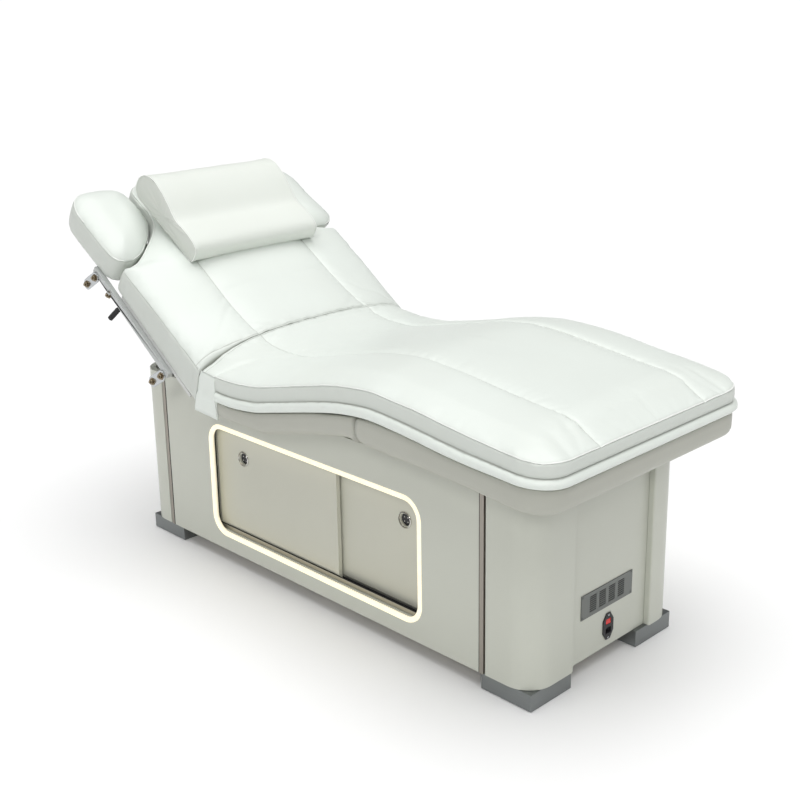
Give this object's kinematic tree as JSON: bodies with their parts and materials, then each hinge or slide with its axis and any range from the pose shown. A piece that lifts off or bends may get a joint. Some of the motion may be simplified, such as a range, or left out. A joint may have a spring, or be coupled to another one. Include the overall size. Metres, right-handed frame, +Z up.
{
  "type": "electric treatment table",
  "caption": "Spa treatment table: a contoured white padded couch with a powered backrest and leg section on a cream storage cabinet with lit sliding doors.",
  "frame": {"origin": "middle of the whole table's box, on the floor", "axes": "+X towards the foot end, -Y towards the side with the sliding doors, +Z up"},
  "size_m": [1.8642, 0.8406, 1.1019],
  "materials": {
    "cabinet_lacquer": "gloss cream lacquer on board",
    "door_lacquer": "satin cream lacquer on board",
    "board_lacquer": "matte painted board",
    "inner_board": "matte melamine board",
    "white_leather": "satin white synthetic leather",
    "tray_leather": "satin white synthetic leather",
    "pillow_leather": "satin white synthetic leather",
    "pedestal_steel": "brushed stainless with black inner faces",
    "trim_metal": "satin light metal with a dark reveal",
    "track_aluminium": "satin",
    "frame_steel": "matte dark paint",
    "rail_paint": "satin pale blue-grey paint",
    "bolt_chrome": "polished",
    "pull_chrome": "polished",
    "ram_steel": "polished",
    "vent_metal": "satin grey",
    "inlet_plastic": "matte black",
    "motor_plastic": "matte black",
    "lever_rubber": "matte black rubber",
    "switch_red": "gloss red",
    "light_strip": "milky diffuser"
  },
  "bodies": {
    "cabinet": {"carcass": "inner_board", "side_panel_near": "cabinet_lacquer", "side_panel_far": "cabinet_lacquer", "end_panel_foot": "cabinet_lacquer", "end_panel_head": "cabinet_lacquer", "column_foot_near": "cabinet_lacquer", "column_foot_far": "cabinet_lacquer", "column_head_near": "cabinet_lacquer", "column_head_far": "cabinet_lacquer", "strip_foot_near": "trim_metal", "strip_foot_far": "trim_metal", "strip_head_near": "trim_metal", "strip_head_far": "trim_metal", "pedestal_foot_near": "pedestal_steel", "pedestal_foot_far": "pedestal_steel", "pedestal_head_near": "pedestal_steel", "pedestal_head_far": "pedestal_steel", "led_strip": "light_strip", "door_jamb": "cabinet_lacquer", "track_bottom": "track_aluminium", "track_top": "track_aluminium", "platform_frame": "frame_steel", "seat_tray": "tray_leather", "seat_cushion": "white_leather", "knee_cushion": "white_leather", "lumbar_cushion": "white_leather", "vent_grille": "vent_metal", "power_inlet": "inlet_plastic", "control_box": "motor_plastic", "actuator_base_back": "frame_steel", "actuator_base_leg": "frame_steel", "leg_rest_bar": "lever_rubber"},
    "mains_switch": {"rocker_switch": "switch_red"},
    "front_door": {"door_front": "door_lacquer", "pull_front": "pull_chrome"},
    "rear_door": {"door_rear": "door_lacquer", "pull_rear": "pull_chrome"},
    "backrest": {"back_frame": "frame_steel", "back_board": "board_lacquer", "back_cushion": "white_leather", "rail_near": "rail_paint", "rail_far": "rail_paint", "bracket_low_near": "bolt_chrome", "bracket_low_far": "bolt_chrome", "bracket_up_near": "bolt_chrome", "bracket_up_far": "bolt_chrome"},
    "near_lever": {"release_lever_near": "lever_rubber"},
    "far_lever": {"release_lever_far": "lever_rubber"},
    "near_arm": {"arm_pad_near": "white_leather", "arm_plate_near": "frame_steel"},
    "far_arm": {"arm_pad_far": "white_leather", "arm_plate_far": "frame_steel"},
    "head_pillow": {"pillow": "pillow_leather"},
    "back_motor": {"back_actuator_body": "motor_plastic"},
    "back_ram": {"back_actuator_rod": "ram_steel"},
    "leg_section": {"leg_frame": "frame_steel", "leg_tray": "tray_leather", "leg_cushion": "white_leather"},
    "leg_motor": {"leg_actuator_body": "motor_plastic"},
    "leg_ram": {"leg_actuator_rod": "ram_steel"}
  },
  "joints": [
    {"name": "backrest_hinge", "type": "hinge", "parent": "cabinet", "child": "backrest", "pos_m": [-0.32386, 0, 0.52799], "axis": [0, 1, 0], "range_deg": [-32.8, 30], "deforming": ["lumbar_cushion"]},
    {"name": "leg_hinge", "type": "hinge", "parent": "cabinet", "child": "leg_section", "pos_m": [0.35308, 0, 0.634], "axis": [0, -1, 0], "range_deg": [0, 25], "deforming": ["knee_cushion"]},
    {"name": "back_motor_pivot", "type": "hinge", "parent": "cabinet", "child": "back_motor", "pos_m": [-0.50992, 0, 0.1], "axis": [0, 1, 0], "range_deg": [-2, 2]},
    {"name": "back_ram_slide", "type": "slide", "parent": "back_motor", "child": "back_ram", "axis": [0.1892, 0, 0.9819], "range_m": [-0.06, 0.055]},
    {"name": "leg_motor_pivot", "type": "hinge", "parent": "cabinet", "child": "leg_motor", "pos_m": [0.57008, 0, 0.1], "axis": [0, -1, 0], "range_deg": [-4, 1]},
    {"name": "leg_ram_slide", "type": "slide", "parent": "leg_motor", "child": "leg_ram", "axis": [-0.1458, 0, 0.9893], "range_m": [0, 0.068]},
    {"name": "near_arm_fold", "type": "hinge", "parent": "backrest", "child": "near_arm", "pos_m": [-0.73808, -0.39, 0.82671], "axis": [0, -1, 0], "range_deg": [0, 45]},
    {"name": "far_arm_fold", "type": "hinge", "parent": "backrest", "child": "far_arm", "pos_m": [-0.73808, 0.39, 0.82671], "axis": [0, -1, 0], "range_deg": [0, 45]},
    {"name": "near_lever_pull", "type": "hinge", "parent": "backrest", "child": "near_lever", "pos_m": [-0.63153, -0.39, 0.75944], "axis": [0, -1, 0], "range_deg": [0, 20], "stiffness_Nm_per_rad": 0.8, "springref_deg": -8.59},
    {"name": "far_lever_pull", "type": "hinge", "parent": "backrest", "child": "far_lever", "pos_m": [-0.63153, 0.39, 0.75944], "axis": [0, -1, 0], "range_deg": [0, 20], "stiffness_Nm_per_rad": 0.8, "springref_deg": -8.59},
    {"name": "pillow_lift", "type": "slide", "parent": "backrest", "child": "head_pillow", "axis": [0.5417, 0, 0.8406], "range_m": [0, 0.15]},
    {"name": "front_door_slide", "type": "slide", "parent": "cabinet", "child": "front_door", "axis": [1, 0, 0], "range_m": [0, 0.32]},
    {"name": "rear_door_slide", "type": "slide", "parent": "cabinet", "child": "rear_door", "axis": [-1, 0, 0], "range_m": [0, 0.32]},
    {"name": "mains_switch_rock", "type": "hinge", "parent": "cabinet", "child": "mains_switch", "pos_m": [0.80316, 0.024, 0.1151], "axis": [0, 1, 0], "range_deg": [0, 8]}
  ],
  "couplings": [
    {"joint": "back_motor_pivot", "follows": "backrest_hinge", "ratio": 0.0197},
    {"joint": "back_ram_slide", "follows": "backrest_hinge", "m_per_rad": 0.09932},
    {"joint": "leg_motor_pivot", "follows": "leg_hinge", "ratio": -0.1062},
    {"joint": "leg_ram_slide", "follows": "leg_hinge", "m_per_rad": 0.14813}
  ]
}
